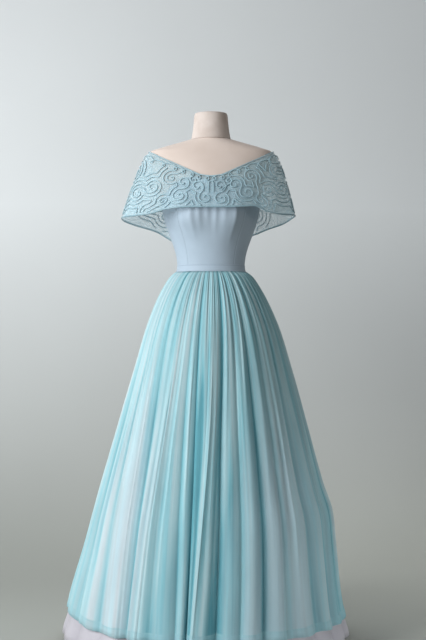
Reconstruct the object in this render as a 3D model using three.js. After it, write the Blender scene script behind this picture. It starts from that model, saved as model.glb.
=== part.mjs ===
// An evening dress with a gathered chiffon skirt and a corded net cape collar, worn by a dress form on a stand.
// Millimetres, +Z up. The floor is z = 0, the stand's pole is the Z axis and the dress faces -Y.
// A "turn" is an angle in degrees about the pole: 0 at the front, 90 at +X, 180 at the back.

import * as THREE from 'three';

// ---------- driving dimensions ----------

const seamGap = 0.4;
const waistTop = 1189;
const waistBottom = 1169;
const chiffonHem = 88;
const underskirtHem = 27;
const bodiceEase = 2.1;
const bodiceCloth = 1.4;
const waistbandCloth = 2;
const chiffonCloth = 1.2;
const chiffonHemCloth = 2;
const underskirtCloth = 1.2;
const capeCloth = 1.4;
const capeHemCord = 3.2;
const baseRadius = 205;
const baseHeight = 26;
const poleRadius = 16;
const formBottom = 905;
const formTop = 1592;
const neckTop = 1676;

// Turns a table with named columns into a list of rows.
function rows(columns, values) {
  return values.map((row) => Object.fromEntries(columns.map((name, k) => [name, row[k]])));
}

const torsoSections = rows(['z', 'side', 'front', 'back'], [
  [905, 150, 98, 106],
  [940, 158, 106, 116],
  [985, 161, 110, 121],
  [1040, 151, 107, 114],
  [1080, 138, 102, 104],
  [1120, 121, 94, 93],
  [1168, 106.5, 86, 84],
  [1190, 104.6, 85, 82],
  [1214, 107, 87, 82],
  [1244, 114.4, 92, 85],
  [1288, 130.2, 104, 92],
  [1335, 146, 119, 100],
  [1381, 155.5, 125, 107],
  [1420, 163, 121, 111],
  [1464, 176, 110, 109],
  [1506, 190, 94, 102],
  [1536, 198, 80, 92],
  [1553, 194, 72, 84],
  [1566, 160, 67, 76],
  [1580, 110, 62, 69],
  [1592, 66, 60, 62],
]);
const bust = { turn: 31, spread: 17, z: 1335, height: 50, rise: 13 };

// The skirt's outline over its fold crests, from waist seam to hem.
const skirtOutline = rows(['z', 'left', 'right', 'front', 'back'], [
  [27, 474, 440, 456, 458],
  [94, 466, 432, 450, 452],
  [120, 461, 424, 444, 446],
  [312, 406, 400, 404, 406],
  [408, 380, 390, 382, 384],
  [504, 352, 358, 354, 356],
  [696, 294, 304, 298, 302],
  [888, 237, 250, 242, 246],
  [985, 209, 220, 210, 214],
  [1080, 173, 179, 166, 168],
  [1120, 152.6, 156.8, 140, 141],
  [1157, 128, 131, 109, 107],
  [1169, 113.2, 113.2, 92.7, 90.7],
]);

// Each flute of the front and sides: the turn of the valley on its left and of its crest, at the waist and at the
// hem, how deep that valley is and how far the crest sinks at the hem, and how many gathers feed it at the waist.
const frontFlutes = rows(['valleyWaist', 'valleyHem', 'crestWaist', 'crestHem', 'depth', 'sink', 'gathers'], [
  [-101, -98, -94, -90, 40, 0, 2],
  [-87, -81, -81, -72, 38, 0, 2],
  [-74, -63, -68, -56, 34, 0, 2],
  [-61, -48, -53, -39.5, 40, 0, 3],
  [-41, -33.5, -31, -29, 34, 0, 2],
  [-24.5, -24, -20.5, -19, 30, 4, 1],
  [-15.8, -14.6, -12.8, -12.5, 46, 16, 1],
  [-9.6, -10.4, 2, -5.5, 44, 0, 3],
  [12, 1.8, 16, 5.6, 56, 10, 1],
  [22, 10.2, 26, 14.6, 44, 6, 1],
  [31, 20.4, 36, 28.2, 66, 0, 1],
  [41, 31.8, 48, 39.5, 44, 2, 2],
  [56, 47, 62, 53, 40, 0, 2],
  [69, 60, 74, 67, 38, 0, 2],
  [81, 74, 87, 81, 36, 0, 2],
]);
const backFlutes = { from: 94, fromHem: 89, to: 259, toHem: 262, count: 15, depth: 42, swing: 12 };

const skirtRows = [waistBottom - seamGap / 2, 1150, 1100, 980, 760, 480, 114, chiffonHem];
// The chiffon's hem hangs uneven: this much higher at the left side and lower at the right.
const hemDrift = { left: 26, right: -4 };
const underskirtRows = [waistBottom - seamGap / 2, 1100, 980, 480, 110, underskirtHem];
// Gathers are deepest a little below the waist seam and are gone by `gone`, a share of the skirt's length.
const gathers = { atWaist: 3.4, below: 8, deepest: 0.06, gone: 0.42 };
// How much of its depth at the hem a flute has straight below the waist seam.
const fluteAtWaist = 0.06;
// How far the underskirt lies inside the chiffon's deepest gathers, and the heights where that changes.
const underskirtGap = { waist: 1.6, hip: 5, hem: 15, hipHeight: 1100, lowHeight: 400 };

const bodiceTop = rows(['turn', 'z'], [
  [0, 1452], [30, 1462], [50, 1446], [70, 1408], [90, 1386], [112, 1404], [150, 1436], [180, 1444],
]);
const neckline = rows(['turn', 'z'], [
  [0, 1464], [15, 1468], [32, 1482], [46, 1496], [57, 1509], [66, 1521], [73, 1532], [80, 1544], [90, 1553],
  [110, 1547], [140, 1524], [180, 1508],
]);
const capeHem = rows(['turn', 'z', 'radius'], [
  [-180, 1246, 148],
  [-160, 1252, 163],
  [-145, 1262, 184],
  [-128, 1300, 214],
  [-110, 1322, 262],
  [-95, 1334, 284],
  [-84, 1338, 284],
  [-72, 1340, 256],
  [-60, 1344, 222],
  [-50, 1358, 186],
  [-36, 1363, 166],
  [-18, 1364, 149],
  [0, 1364, 143],
  [18, 1364, 149],
  [36, 1366, 166],
  [48, 1369, 182],
  [58, 1352, 206],
  [72, 1344, 244],
  [84, 1346, 266],
  [95, 1345, 268],
  [110, 1326, 248],
  [128, 1304, 208],
  [145, 1280, 180],
  [160, 1258, 163],
  [180, 1246, 148],
]);
// How the cape's half width swells from neckline to hem, as a power of the way down.
const capeSwell = { left: 0.72, right: 0.62 };
const capeRipple = { count: 11, rise: 7, from: 108 };

// The bodice's panels between their seams, and the soft shirring over the bust.
const princessSeam = 48;
const sideSeam = 104;
const bodicePanels = rows(['node', 'from', 'to', 'columns'], [
  ['bodice_back_left', -180, -sideSeam, 10],
  ['bodice_side_left', -sideSeam, -princessSeam, 7],
  ['bodice_front', -princessSeam, princessSeam, 24],
  ['bodice_side_right', princessSeam, sideSeam, 7],
  ['bodice_back_right', sideSeam, 180, 10],
]);
const shirring = rows(['turn', 'rise', 'length'], [
  [-40, 1.8, 70], [-27, 2.1, 84], [-16.5, 1.8, 60], [-5, 1.4, 46], [7, 1.7, 66], [19, 1.5, 52], [33, 2.2, 92],
]);
const shirringSpread = 3.4;
const shirringTop = 1392;
const shirringFade = 34;
// The lapped closing stands this far off the back panels and takes this share of their first columns.
const placketLift = 0.5;
const placketShare = 0.9;

// Scroll cords on the cape: where each lies, its turning, and its size in millimetres.
const scrolls = rows(['node', 'turn', 'way', 'tilt', 'size'], [
  ['soutache_front_1', -38, 0.52, 200, 23],
  ['soutache_front_2', -13, 0.54, -20, 22],
  ['soutache_front_3', 13, 0.54, 195, 22],
  ['soutache_front_4', 38, 0.52, -25, 23],
  ['soutache_left_1', -70, 0.56, 255, 23],
  ['soutache_left_2', -108, 0.55, 75, 24],
  ['soutache_right_1', 70, 0.56, 290, 23],
  ['soutache_right_2', 108, 0.55, 100, 24],
  ['soutache_back_1', -152, 0.5, 80, 27],
  ['soutache_back_2', 152, 0.5, 280, 27],
]);
const soutache = { width: 3, height: 2.2, lift: 0.8, steps: 11, coils: 1.2 };

// ---------- shared forms ----------

const radians = THREE.MathUtils.degToRad;
const lerp = THREE.MathUtils.lerp;

function smooth(from, to, value) {
  return THREE.MathUtils.smoothstep(value, from, to);
}

function wrapTurn(turn) {
  return ((turn + 540) % 360) - 180;
}

// A smooth curve through a table's column that never overshoots its rows.
function curve(table, across, along) {
  const sorted = [...table].sort((a, b) => a[across] - b[across]);
  const x = sorted.map((row) => row[across]);
  const y = sorted.map((row) => row[along]);
  const slope = x.slice(1).map((value, k) => (y[k + 1] - y[k]) / (value - x[k]));
  const tangent = x.map((_, k) => {
    if (k === 0 || k === x.length - 1) return slope[Math.max(0, k - 1)];
    if (slope[k - 1] * slope[k] <= 0) return 0;
    return (2 * slope[k - 1] * slope[k]) / (slope[k - 1] + slope[k]);
  });
  return (value) => {
    const held = THREE.MathUtils.clamp(value, x[0], x[x.length - 1]);
    let k = 0;
    while (k < x.length - 2 && held > x[k + 1]) k += 1;
    const span = x[k + 1] - x[k];
    const t = (held - x[k]) / span;
    const start = y[k] * (1 + 2 * t) * (1 - t) ** 2 + tangent[k] * span * t * (1 - t) ** 2;
    const end = y[k + 1] * t * t * (3 - 2 * t) - tangent[k + 1] * span * t * t * (1 - t);
    return start + end;
  };
}

function placed(turn, radius, z) {
  return new THREE.Vector3(radius * Math.sin(radians(turn)), -radius * Math.cos(radians(turn)), z);
}

// Distance from the axis of an oval whose four half lengths may differ.
function ovalRadius(turn, left, right, front, back) {
  const across = Math.sin(radians(turn)) / (Math.sin(radians(turn)) < 0 ? left : right);
  const along = Math.cos(radians(turn)) / (Math.cos(radians(turn)) > 0 ? front : back);
  return 1 / Math.hypot(across, along);
}

// Closes a body from its triangles, facing out.
function closedBody(points, faces) {
  let volume = 0;
  for (const [a, b, c] of faces) volume += points[a].dot(points[b].clone().cross(points[c]));
  const facing = volume > 0 ? faces : faces.map(([a, b, c]) => [a, c, b]);
  const geometry = new THREE.BufferGeometry();
  geometry.setAttribute('position', new THREE.Float32BufferAttribute(points.flatMap((p) => p.toArray()), 3));
  geometry.setIndex(facing.flat());
  geometry.computeVertexNormals();
  return geometry;
}

function quad(a, b, c, d) {
  return [[a, b, c], [a, c, d]];
}

// A whole body from stacked rings, closed by a fan at each end.
function ringBody(rings) {
  const around = rings[0].length;
  const points = rings.flat();
  const faces = [];
  for (let i = 0; i < rings.length - 1; i += 1) {
    for (let j = 0; j < around; j += 1) {
      const next = (j + 1) % around;
      faces.push(...quad(i * around + j, i * around + next, (i + 1) * around + next, (i + 1) * around + j));
    }
  }
  for (const [row, flip] of [[0, true], [rings.length - 1, false]]) {
    const middle = rings[row].reduce((sum, p) => sum.add(p), new THREE.Vector3()).divideScalar(around);
    points.push(middle);
    for (let j = 0; j < around; j += 1) {
      const next = (j + 1) % around;
      const edge = [row * around + j, row * around + next];
      faces.push(flip ? [points.length - 1, edge[1], edge[0]] : [points.length - 1, edge[0], edge[1]]);
    }
  }
  return closedBody(points, faces);
}

// Both faces of a cloth ring whose middle is the given grid, with its own thickness in each row.
function clothFaces(grid, thickness) {
  const around = grid[0].length;
  const last = grid.length - 1;
  const face = (side) => grid.map((row, i) => row.map((point, j) => {
    const across = row[(j + 1) % around].clone().sub(row[(j + around - 1) % around]);
    const down = grid[Math.min(i + 1, last)][j].clone().sub(grid[Math.max(i - 1, 0)][j]);
    const normal = down.cross(across).normalize();
    const edge = i === 0 || i === last;
    if (edge) normal.setZ(0).normalize();
    return point.clone().addScaledVector(normal, side * thickness(i) / 2);
  }));
  const outward = face(1);
  const inward = face(-1);
  const swapped = outward[0][0].length() < inward[0][0].length();
  return swapped ? { outer: inward, inner: outward } : { outer: outward, inner: inward };
}

// One panel of a cloth ring, from column `from` to column `to`, drawn in by half a seam gap at each side.
function clothPanel(faces, from, to) {
  const around = faces.outer[0].length;
  const columns = to - from + 1;
  const cut = (grid) => grid.map((row) => {
    const strip = Array.from({ length: columns }, (_, k) => row[(from + k + around) % around].clone());
    const pull = (point, towards) => {
      const way = towards.clone().sub(point);
      return point.addScaledVector(way.normalize(), seamGap / 2);
    };
    pull(strip[0], strip[1]);
    pull(strip[columns - 1], strip[columns - 2]);
    return strip;
  });
  const outer = cut(faces.outer);
  const inner = cut(faces.inner);
  const points = [...outer.flat(), ...inner.flat()];
  const height = outer.length;
  const at = (side, i, j) => side * height * columns + i * columns + j;
  const triangles = [];
  for (let i = 0; i < height - 1; i += 1) {
    for (let j = 0; j < columns - 1; j += 1) {
      triangles.push(...quad(at(0, i, j), at(0, i + 1, j), at(0, i + 1, j + 1), at(0, i, j + 1)));
      triangles.push(...quad(at(1, i, j), at(1, i, j + 1), at(1, i + 1, j + 1), at(1, i + 1, j)));
    }
    const end = columns - 1;
    triangles.push(...quad(at(0, i, 0), at(1, i, 0), at(1, i + 1, 0), at(0, i + 1, 0)));
    triangles.push(...quad(at(0, i, end), at(0, i + 1, end), at(1, i + 1, end), at(1, i, end)));
  }
  for (let j = 0; j < columns - 1; j += 1) {
    const foot = height - 1;
    triangles.push(...quad(at(0, 0, j), at(0, 0, j + 1), at(1, 0, j + 1), at(1, 0, j)));
    triangles.push(...quad(at(0, foot, j), at(1, foot, j), at(1, foot, j + 1), at(0, foot, j + 1)));
  }
  return closedBody(points, triangles);
}

const finish = {
  formCream: { color: 0xe3d5cc, roughness: 0.75, metalness: 0 },
  neckWhite: { color: 0xe9e5df, roughness: 0.6, metalness: 0 },
  steelPaint: { color: 0x8e8b86, roughness: 0.45, metalness: 0.6 },
  crepe: { color: 0xa7bdc8, roughness: 0.6, metalness: 0 },
  chiffon: { color: 0xa3cfda, roughness: 0.8, metalness: 0 },
  taffeta: { color: 0xcfd0d8, roughness: 0.6, metalness: 0 },
  net: { color: 0x9cc0ca, roughness: 0.85, metalness: 0 },
  cord: { color: 0x6d98a6, roughness: 0.6, metalness: 0 },
};

const dress = new THREE.Group();

function addNode(name, geometry, look) {
  const mesh = new THREE.Mesh(geometry, new THREE.MeshStandardMaterial(look));
  mesh.name = name;
  dress.add(mesh);
}

// ---------- dress form and stand ----------

const torsoSide = curve(torsoSections, 'z', 'side');
const torsoFront = curve(torsoSections, 'z', 'front');
const torsoBack = curve(torsoSections, 'z', 'back');

function torsoRadius(turn, z) {
  const oval = ovalRadius(turn, torsoSide(z), torsoSide(z), torsoFront(z), torsoBack(z));
  const across = (Math.abs(wrapTurn(turn)) - bust.turn) / bust.spread;
  const along = (z - bust.z) / bust.height;
  return oval + bust.rise * Math.exp(-across * across - along * along);
}

function buildForm() {
  const around = 40;
  const heights = [formBottom, 985, 1060, 1120, 1150, 1170, 1190, 1212, 1245, 1285, 1325, 1365, 1410, 1460, 1510, 1536,
    1553, 1564, 1578, formTop];
  const rings = heights.map((z) => Array.from({ length: around }, (_, j) => {
    const turn = (360 * j) / around;
    return placed(turn, torsoRadius(turn, z), z);
  }));
  addNode('form_torso', ringBody(rings), finish.formCream);

  const neckProfile = rows(['radius', 'z'], [
    [0, formTop + seamGap], [62, formTop + seamGap], [59, 1605], [57, 1628], [56, 1669], [51, neckTop],
    [0, neckTop],
  ]).map((row) => new THREE.Vector2(row.radius, row.z));
  addNode('form_neck', turned(neckProfile, 32), finish.neckWhite);
}

// A turned body: the profile starts and ends on the axis.
function turned(profile, around) {
  const rings = profile.slice(1, -1).map((p) => Array.from({ length: around }, (_, j) => (
    placed((360 * j) / around, p.x, p.y)
  )));
  return ringBody(rings);
}

function buildStand() {
  const baseProfile = rows(['radius', 'z'], [
    [0, 0], [baseRadius - 4, 0], [baseRadius, 4], [baseRadius, 9], [baseRadius - 7, 14], [70, 19], [34, baseHeight],
    [0, baseHeight],
  ]).map((row) => new THREE.Vector2(row.radius, row.z));
  addNode('stand_base', turned(baseProfile, 40), finish.steelPaint);
  const low = baseHeight + seamGap;
  const high = formBottom - seamGap;
  const poleProfile = [[0, low], [poleRadius, low], [poleRadius, high], [0, high]]
    .map(([radius, z]) => new THREE.Vector2(radius, z));
  addNode('stand_pole', turned(poleProfile, 24), finish.steelPaint);
}

// ---------- bodice and waistband ----------

function shirringRise(turn, z) {
  let rise = 0;
  for (const gather of shirring) {
    const across = (wrapTurn(turn) - gather.turn) / shirringSpread;
    rise += gather.rise * Math.exp(-across * across) * smooth(shirringTop - gather.length, shirringTop - 10, z);
  }
  return rise * (1 - smooth(shirringTop, shirringTop + shirringFade, z));
}

function buildBodice() {
  const top = curve(bodiceTop, 'turn', 'z');
  const low = waistTop + seamGap;
  const columnTurns = [];
  for (const panel of bodicePanels) {
    for (let k = 0; k < panel.columns; k += 1) columnTurns.push(lerp(panel.from, panel.to, k / panel.columns));
  }
  const ways = [0, 0.16, 0.32, 0.5, 0.72, 1];
  const grid = ways.map((way) => columnTurns.map((turn) => {
    const z = lerp(top(Math.abs(turn)), low, way);
    const radius = torsoRadius(turn, z) + bodiceEase + bodiceCloth / 2 + shirringRise(turn, z);
    return placed(turn, radius, z);
  }));
  const faces = clothFaces(grid, () => bodiceCloth);
  let seam = 0;
  for (const panel of bodicePanels) {
    addNode(panel.node, clothPanel(faces, seam, seam + panel.columns), finish.crepe);
    seam += panel.columns;
  }

  // The lapped closing lies on the two back panels, over their seam.
  const lapFaces = { outer: [], inner: [] };
  for (const row of faces.outer.slice(1)) {
    const centre = row[0];
    const strip = [row[row.length - 1], centre, row[1]].map((side) => centre.clone().lerp(side, placketShare));
    const lifted = (lift) => strip.map((point) => point.clone().add(new THREE.Vector3(0, lift, 0)));
    lapFaces.inner.push(lifted(placketLift));
    lapFaces.outer.push(lifted(placketLift + bodiceCloth));
  }
  addNode('back_placket', clothPanel(lapFaces, 0, 2), finish.crepe);
}

function buildWaistband() {
  const heights = [waistTop - seamGap / 2, 1179, waistBottom + seamGap / 2];
  const eases = [bodiceEase, 1.8, 3.6];
  const around = 48;
  const grid = heights.map((z, i) => Array.from({ length: around }, (_, j) => {
    const turn = -180 + (360 * j) / around;
    return placed(turn, torsoRadius(turn, z) + eases[i] + waistbandCloth / 2, z);
  }));
  addNode('waistband', clothPanel(clothFaces(grid, () => waistbandCloth), 0, around), finish.crepe);
}

// ---------- skirt ----------

const outlineLeft = curve(skirtOutline, 'z', 'left');
const outlineRight = curve(skirtOutline, 'z', 'right');
const outlineFront = curve(skirtOutline, 'z', 'front');
const outlineBack = curve(skirtOutline, 'z', 'back');

function skirtRadius(turn, z) {
  return ovalRadius(turn, outlineLeft(z), outlineRight(z), outlineFront(z), outlineBack(z));
}

// The back's flutes are worked out, as uneven as the front's.
function allFlutes() {
  const flutes = [...frontFlutes];
  const spot = (place, from, to) => lerp(from, to, place / backFlutes.count);
  for (let k = 0; k < backFlutes.count; k += 1) {
    const valley = k === 0 ? 0 : k + 0.24 * Math.sin(2.4 * k + 0.5);
    const crest = k + 0.5 + 0.16 * Math.sin(1.9 * k + 1.2);
    flutes.push({
      valleyWaist: spot(valley, backFlutes.from, backFlutes.to),
      valleyHem: spot(valley, backFlutes.fromHem, backFlutes.toHem),
      crestWaist: spot(crest, backFlutes.from, backFlutes.to),
      crestHem: spot(crest, backFlutes.fromHem, backFlutes.toHem),
      depth: backFlutes.depth + backFlutes.swing * Math.sin(1.7 * k + 0.6),
      sink: k % 4 === 2 ? 10 : 0,
      gathers: k % 2 === 0 ? 2 : 1,
    });
  }
  return flutes;
}

// Every column of the skirt: its turns, how much of a valley it is, and its place in its gather.
function skirtColumns(perGather) {
  const flutes = allFlutes();
  const columns = [];
  flutes.forEach((flute, k) => {
    const next = flutes[(k + 1) % flutes.length];
    const lap = k === flutes.length - 1 ? 360 : 0;
    const count = Math.max(4, perGather * flute.gathers);
    for (let step = 0; step < count; step += 1) {
      const way = step / count;
      const falling = way < 0.5;
      const share = falling ? 2 * way : 2 * way - 1;
      const from = falling ? [flute.valleyWaist, flute.valleyHem] : [flute.crestWaist, flute.crestHem];
      const to = falling ? [flute.crestWaist, flute.crestHem] : [next.valleyWaist + lap, next.valleyHem + lap];
      const hollow = 1 - Math.sin(Math.PI * way) ** 0.8;
      columns.push({
        waist: lerp(from[0], to[0], share),
        hem: lerp(from[1], to[1], share),
        inset: hollow * (falling ? flute.depth : next.depth) + (1 - hollow) * flute.sink,
        gather: 0.5 + 0.5 * Math.cos(2 * Math.PI * flute.gathers * way),
        flute: k,
      });
    }
  });
  return columns;
}

// A point of the skirt. `gap` is how far it lies inside the chiffon, whose gathers it then follows at their deepest.
function skirtPoint(column, z, gap) {
  const down = THREE.MathUtils.clamp((waistBottom - z) / (waistBottom - chiffonHem), 0, 1);
  const turn = lerp(column.waist, column.hem, down);
  const started = smooth(0, gathers.deepest, down);
  const fluting = column.inset * lerp(fluteAtWaist * started, 1, down);
  const swell = lerp(gathers.atWaist, gathers.below, started) * (1 - smooth(gathers.deepest, gathers.gone, down));
  const gathering = swell * (gap > 0 ? 1 : column.gather);
  return placed(turn, skirtRadius(turn, z) - fluting - gathering - gap, z);
}

function buildSkirt() {
  const columns = skirtColumns(4);
  const hemRow = skirtRows.length - 2;
  const grid = skirtRows.map((z, i) => columns.map((column) => {
    const sideways = Math.sin(radians(column.hem));
    const drift = i < hemRow ? 0 : sideways ** 6 * (sideways < 0 ? hemDrift.left : hemDrift.right);
    return skirtPoint(column, z + drift, 0);
  }));
  const faces = clothFaces(grid, (i) => (i >= hemRow ? chiffonHemCloth : chiffonCloth));
  const first = columns.findIndex((column) => column.flute === 1);
  const right = columns.findIndex((column) => column.flute === frontFlutes.length);
  const middleBack = frontFlutes.length + Math.floor(backFlutes.count / 2);
  const back = columns.findIndex((column) => column.flute === middleBack);
  addNode('chiffon_front', clothPanel(faces, first, right), finish.chiffon);
  addNode('chiffon_back_right', clothPanel(faces, right, back), finish.chiffon);
  addNode('chiffon_back_left', clothPanel(faces, back, first + columns.length), finish.chiffon);
}

function buildUnderskirt() {
  const columns = skirtColumns(1);
  const { waist, hip, hem, hipHeight, lowHeight } = underskirtGap;
  const grid = underskirtRows.map((z) => {
    const high = lerp(hip, waist, smooth(hipHeight, waistBottom, z));
    const gap = z < chiffonHem ? 0 : lerp(hem, high, smooth(lowHeight, hipHeight, z));
    return columns.map((column) => skirtPoint(column, z, gap));
  });
  const faces = clothFaces(grid, () => underskirtCloth);
  const left = columns.findIndex((column) => column.flute === 1);
  const right = columns.findIndex((column) => column.flute === frontFlutes.length);
  addNode('underskirt_front', clothPanel(faces, left, right), finish.taffeta);
  addNode('underskirt_back', clothPanel(faces, right, left + columns.length), finish.taffeta);
}

// ---------- cape collar ----------

const necklineHeight = curve(neckline, 'turn', 'z');
const hemHeight = curve(capeHem, 'turn', 'z');
const hemRadius = curve(capeHem, 'turn', 'radius');
const capeEase = { neckline: 0.5, overBodice: 0.7, overShirring: 2.4 };

function capePoint(turn, way) {
  const held = wrapTurn(turn);
  const top = necklineHeight(Math.abs(held));
  const z = lerp(top, hemHeight(held), way);
  const swell = held < 0 ? capeSwell.left : capeSwell.right;
  const sideways = Math.abs(Math.sin(radians(held)));
  const spread = lerp(1, swell, sideways);
  const overBodice = bodiceEase + bodiceCloth + lerp(capeEase.overBodice, capeEase.overShirring, smooth(0.2, 0.6, way));
  const lying = torsoRadius(held, z) + capeCloth / 2 + lerp(capeEase.neckline, overBodice, smooth(0, 0.1, way));
  const start = torsoRadius(held, top) + capeCloth / 2 + capeEase.neckline;
  const hanging = lerp(start, hemRadius(held), way ** spread);
  const behind = smooth(capeRipple.from, capeRipple.from + 30, Math.abs(held));
  const ripple = capeRipple.rise * Math.cos(radians(capeRipple.count * held)) * behind * way * way;
  return placed(held, Math.max(lying, hanging + ripple), z);
}

// Columns of the cape, closer together where it turns round the arms.
const capeHalf = [0, 6, 12, 18, 24, 30, 36, 42, 47, 52, 57, 62, 67, 72, 76, 80, 83, 86, 90, 94, 97, 100, 104, 108,
  113, 118, 123, 128, 134, 140, 147, 155, 163, 172];
const capeTurns = [-180, ...capeHalf.slice(1).reverse().map((turn) => -turn), ...capeHalf];
const capeWays = [0, 0.1, 0.28, 0.5, 0.74, 0.965, 1];

function buildCape() {
  const grid = capeWays.map((way) => capeTurns.map((turn) => capePoint(turn, way)));
  const cordRow = capeWays.length - 1;
  const faces = clothFaces(grid, (i) => (i === cordRow ? capeHemCord : capeCloth));
  const seam = (turn) => capeTurns.indexOf(turn);
  addNode('cape_back_left', clothPanel(faces, seam(-180), seam(-90)), finish.net);
  addNode('cape_front', clothPanel(faces, seam(-90), seam(90)), finish.net);
  addNode('cape_back_right', clothPanel(faces, seam(90), capeTurns.length), finish.net);
  return faces.outer;
}

// A point on the cape's outer facets and the way out from it.
function onCape(outer, turn, way) {
  const held = wrapTurn(turn);
  let j = capeTurns.length - 1;
  while (held < capeTurns[j]) j -= 1;
  const far = j === capeTurns.length - 1 ? 180 : capeTurns[j + 1];
  const across = (held - capeTurns[j]) / (far - capeTurns[j]);
  let i = 0;
  while (i < capeWays.length - 2 && way > capeWays[i + 1]) i += 1;
  const down = (way - capeWays[i]) / (capeWays[i + 1] - capeWays[i]);
  const next = (j + 1) % capeTurns.length;
  const [a, b, c, d] = [outer[i][j], outer[i + 1][j], outer[i + 1][next], outer[i][next]];
  const lower = down > across;
  const [corner, side] = lower ? [b, 1] : [d, 0];
  const point = a.clone().multiplyScalar(1 - Math.max(across, down));
  point.addScaledVector(corner, Math.abs(down - across));
  point.addScaledVector(c, Math.min(across, down));
  const edgeA = corner.clone().sub(a);
  const edgeB = c.clone().sub(a);
  const normal = side ? edgeA.cross(edgeB) : edgeB.cross(edgeA);
  normal.normalize();
  if (normal.dot(new THREE.Vector3(point.x, point.y, 0)) < 0) normal.negate();
  return { point, normal };
}

// A cord wound into a scroll at each of its two ends, as flat steps about the scroll's middle.
function scrollPath(size) {
  const half = [];
  for (let k = 0; k <= soutache.steps; k += 1) {
    const way = k / soutache.steps;
    const angle = 2 * Math.PI * soutache.coils * way;
    const reach = size * (0.16 + 0.84 * way);
    half.push([reach * Math.cos(angle), reach * Math.sin(angle)]);
  }
  const [endX, endY] = half[half.length - 1];
  const first = half.map(([x, y]) => [x - endX, y - endY]);
  const second = first.slice(0, -1).reverse().map(([x, y]) => [-x, -y]);
  return [...first, ...second];
}

function buildSoutache(outer) {
  for (const scroll of scrolls) {
    const tilt = radians(scroll.tilt);
    const middle = onCape(outer, scroll.turn, scroll.way).point;
    const reach = Math.hypot(middle.x, middle.y);
    const fall = onCape(outer, scroll.turn, 0).point.distanceTo(onCape(outer, scroll.turn, 1).point);
    const path = scrollPath(scroll.size).map(([x, y]) => {
      const along = x * Math.cos(tilt) - y * Math.sin(tilt);
      const down = x * Math.sin(tilt) + y * Math.cos(tilt);
      const turn = scroll.turn + THREE.MathUtils.radToDeg(along / reach);
      return onCape(outer, turn, THREE.MathUtils.clamp(scroll.way + down / fall, 0.05, 0.94));
    });
    const rings = path.map(({ point, normal }, k) => {
      const before = path[Math.max(0, k - 1)].point;
      const after = path[Math.min(path.length - 1, k + 1)].point;
      const forward = after.clone().sub(before).normalize();
      const sideways = forward.clone().cross(normal).normalize();
      const centre = point.clone().addScaledVector(normal, soutache.lift + soutache.height / 2);
      return [
        centre.clone().addScaledVector(sideways, soutache.width / 2),
        centre.clone().addScaledVector(normal, soutache.height / 2),
        centre.clone().addScaledVector(sideways, -soutache.width / 2),
        centre.clone().addScaledVector(normal, -soutache.height / 2),
      ];
    });
    addNode(scroll.node, ringBody(rings), finish.cord);
  }
}

buildStand();
buildForm();
buildBodice();
buildWaistband();
buildSkirt();
buildUnderskirt();
buildSoutache(buildCape());

export default dress;
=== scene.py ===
# An evening dress on a limbless dress form: a gathered chiffon skirt, a crepe bodice and a corded net cape.
# Sizes in the tables are millimetres. A "turn" is an angle in degrees about the pole: 0 at the front, 90 at +X.
# A "way" runs from 0 at a piece's top edge to 1 at its lower edge.
import math
import bpy
import numpy as np
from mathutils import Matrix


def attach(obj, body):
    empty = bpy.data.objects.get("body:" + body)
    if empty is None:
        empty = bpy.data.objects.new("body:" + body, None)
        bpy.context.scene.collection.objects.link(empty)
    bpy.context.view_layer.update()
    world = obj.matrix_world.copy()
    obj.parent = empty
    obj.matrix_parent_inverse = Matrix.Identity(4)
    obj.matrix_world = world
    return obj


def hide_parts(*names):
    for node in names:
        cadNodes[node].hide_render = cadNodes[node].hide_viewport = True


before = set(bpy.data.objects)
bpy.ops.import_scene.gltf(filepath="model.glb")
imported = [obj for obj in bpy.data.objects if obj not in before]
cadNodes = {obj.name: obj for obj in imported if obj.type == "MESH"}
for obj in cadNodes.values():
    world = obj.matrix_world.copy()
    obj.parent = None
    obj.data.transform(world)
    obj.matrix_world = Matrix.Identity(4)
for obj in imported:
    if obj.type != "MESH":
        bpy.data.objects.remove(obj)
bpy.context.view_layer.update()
print("frame loaded")

view = {"place": (0.0064, -4.0, 1.016), "lens": 70.3, "sensor": 36}

cameraData = bpy.data.cameras.new("viewer")
cameraData.lens = view["lens"]
cameraData.sensor_width = view["sensor"]
camera = bpy.data.objects.new("viewer", cameraData)
camera.location = view["place"]
camera.rotation_euler = (math.radians(90), 0, 0)
bpy.context.scene.collection.objects.link(camera)
bpy.context.scene.camera = camera


def column(table, k):
    return np.array([row[k] for row in table], float)


def curve(table, k=1):  # a smooth line through a table's column that never overshoots its rows
    order = np.argsort(column(table, 0))
    x, y = column(table, 0)[order], column(table, k)[order]
    slope = np.diff(y) / np.diff(x)
    tangent = np.concatenate([slope[:1], np.zeros(len(x) - 2), slope[-1:]])
    rising = slope[:-1] * slope[1:] > 0
    tangent[1:-1][rising] = 2 * (slope[:-1] * slope[1:])[rising] / (slope[:-1] + slope[1:])[rising]

    def at(value):
        held = np.clip(value, x[0], x[-1])
        n = np.clip(np.searchsorted(x, held, side="right") - 1, 0, len(x) - 2)
        span = x[n + 1] - x[n]
        t = (held - x[n]) / span
        start = y[n] * (1 + 2 * t) * (1 - t) ** 2 + tangent[n] * span * t * (1 - t) ** 2
        return start + y[n + 1] * t * t * (3 - 2 * t) - tangent[n + 1] * span * t * t * (1 - t)
    return at


def mix(a, b, share):
    return a + (b - a) * share


def smooth(start, end, value):
    t = np.clip((value - start) / (end - start), 0, 1)
    return t * t * (3 - 2 * t)


def swing(k, size, beat, start):  # makes neighbours differ in a regular way
    return size * np.sin(beat * k + start)


def scattered(k, n):  # an uneven number from 0 to 1, the same in each run
    return math.modf(abs(math.sin(1 + 12.9898 * k + 78.233 * n) * 437.5453))[0]


def wrapTurn(turn):
    return (turn + 540) % 360 - 180


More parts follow.
